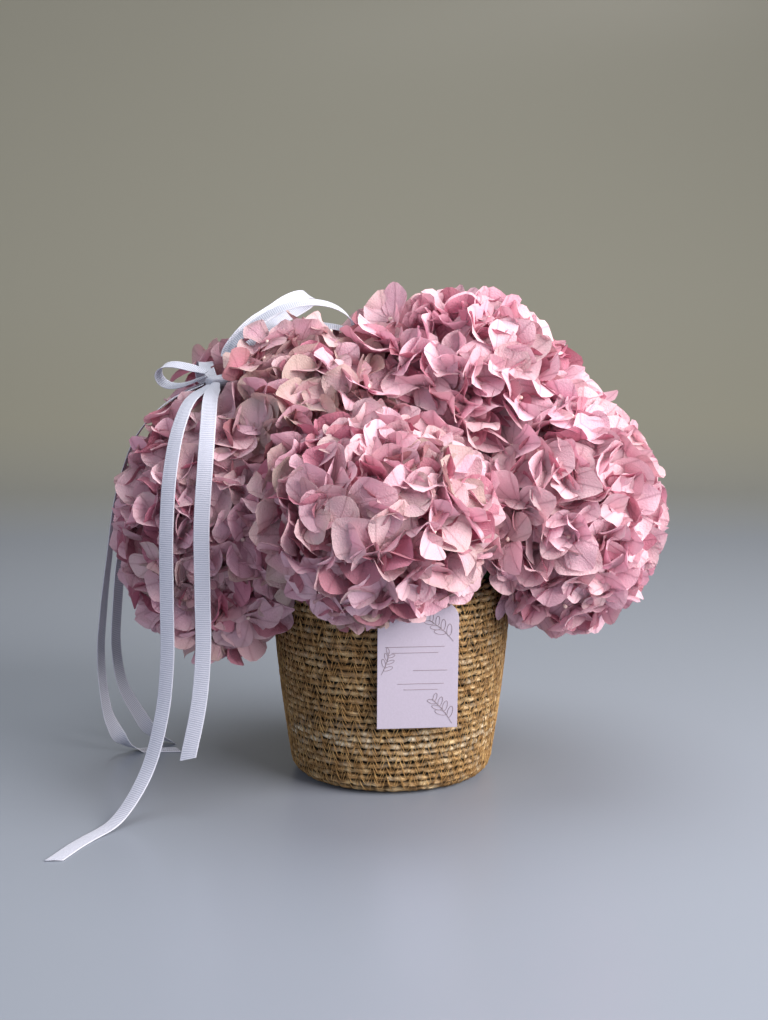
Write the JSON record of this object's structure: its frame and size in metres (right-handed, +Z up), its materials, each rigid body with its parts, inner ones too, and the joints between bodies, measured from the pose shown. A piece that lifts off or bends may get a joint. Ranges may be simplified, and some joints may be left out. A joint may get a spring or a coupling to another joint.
{
  "type": "hydrangea in a basket",
  "caption": "Dome of pink hydrangea mopheads cut into wet floral foam in a round coiled seagrass basket, with a trailing ribbon bow and a small blank gift card.",
  "frame": {"origin": "middle of the basket's flat underside, on the table", "axes": "+Z up, -Y towards the viewer on the card's side, +X to the right, so the bow is on the -X side"},
  "size_m": [0.3869, 0.3603, 0.3295],
  "materials": {
    "seagrass": "coiled dried seagrass rope, stitched with grass thread",
    "liner": "thin moulded plastic, dull",
    "foam": "wet fine-celled foam, matt",
    "petals": "thin veined petals, soft and slightly translucent",
    "stem": "green stem, satin",
    "card": "uncoated card, matt",
    "pad": "soft sticky foam pad",
    "ribbon": "ribbed grosgrain with a woven edge, soft sheen",
    "pick": "plain wooden pick"
  },
  "bodies": {
    "root": {"basket": "seagrass", "liner": "liner", "floral_foam": "foam", "flower_head_right": "petals", "flower_head_top_right": "petals", "flower_head_top_left": "petals", "flower_head_left": "petals", "flower_head_front": "petals", "flower_head_back_right": "petals", "flower_head_back_left": "petals", "flower_head_back": "petals", "stem_right": "stem", "stem_top_right": "stem", "stem_top_left": "stem", "stem_left": "stem", "stem_front": "stem", "stem_back_right": "stem", "stem_back_left": "stem", "stem_back": "stem", "card": "card", "card_pad": "pad", "bow_knot": "ribbon", "bow_pick": "pick", "bow_loop_right_upper": "ribbon", "bow_loop_right_lower": "ribbon", "bow_loop_left_front": "ribbon", "bow_loop_left_back": "ribbon", "ribbon_tail_front_long": "ribbon", "ribbon_tail_front_short": "ribbon", "ribbon_tail_back_wide": "ribbon", "ribbon_tail_back_thin": "ribbon"}
  },
  "joints": []
}
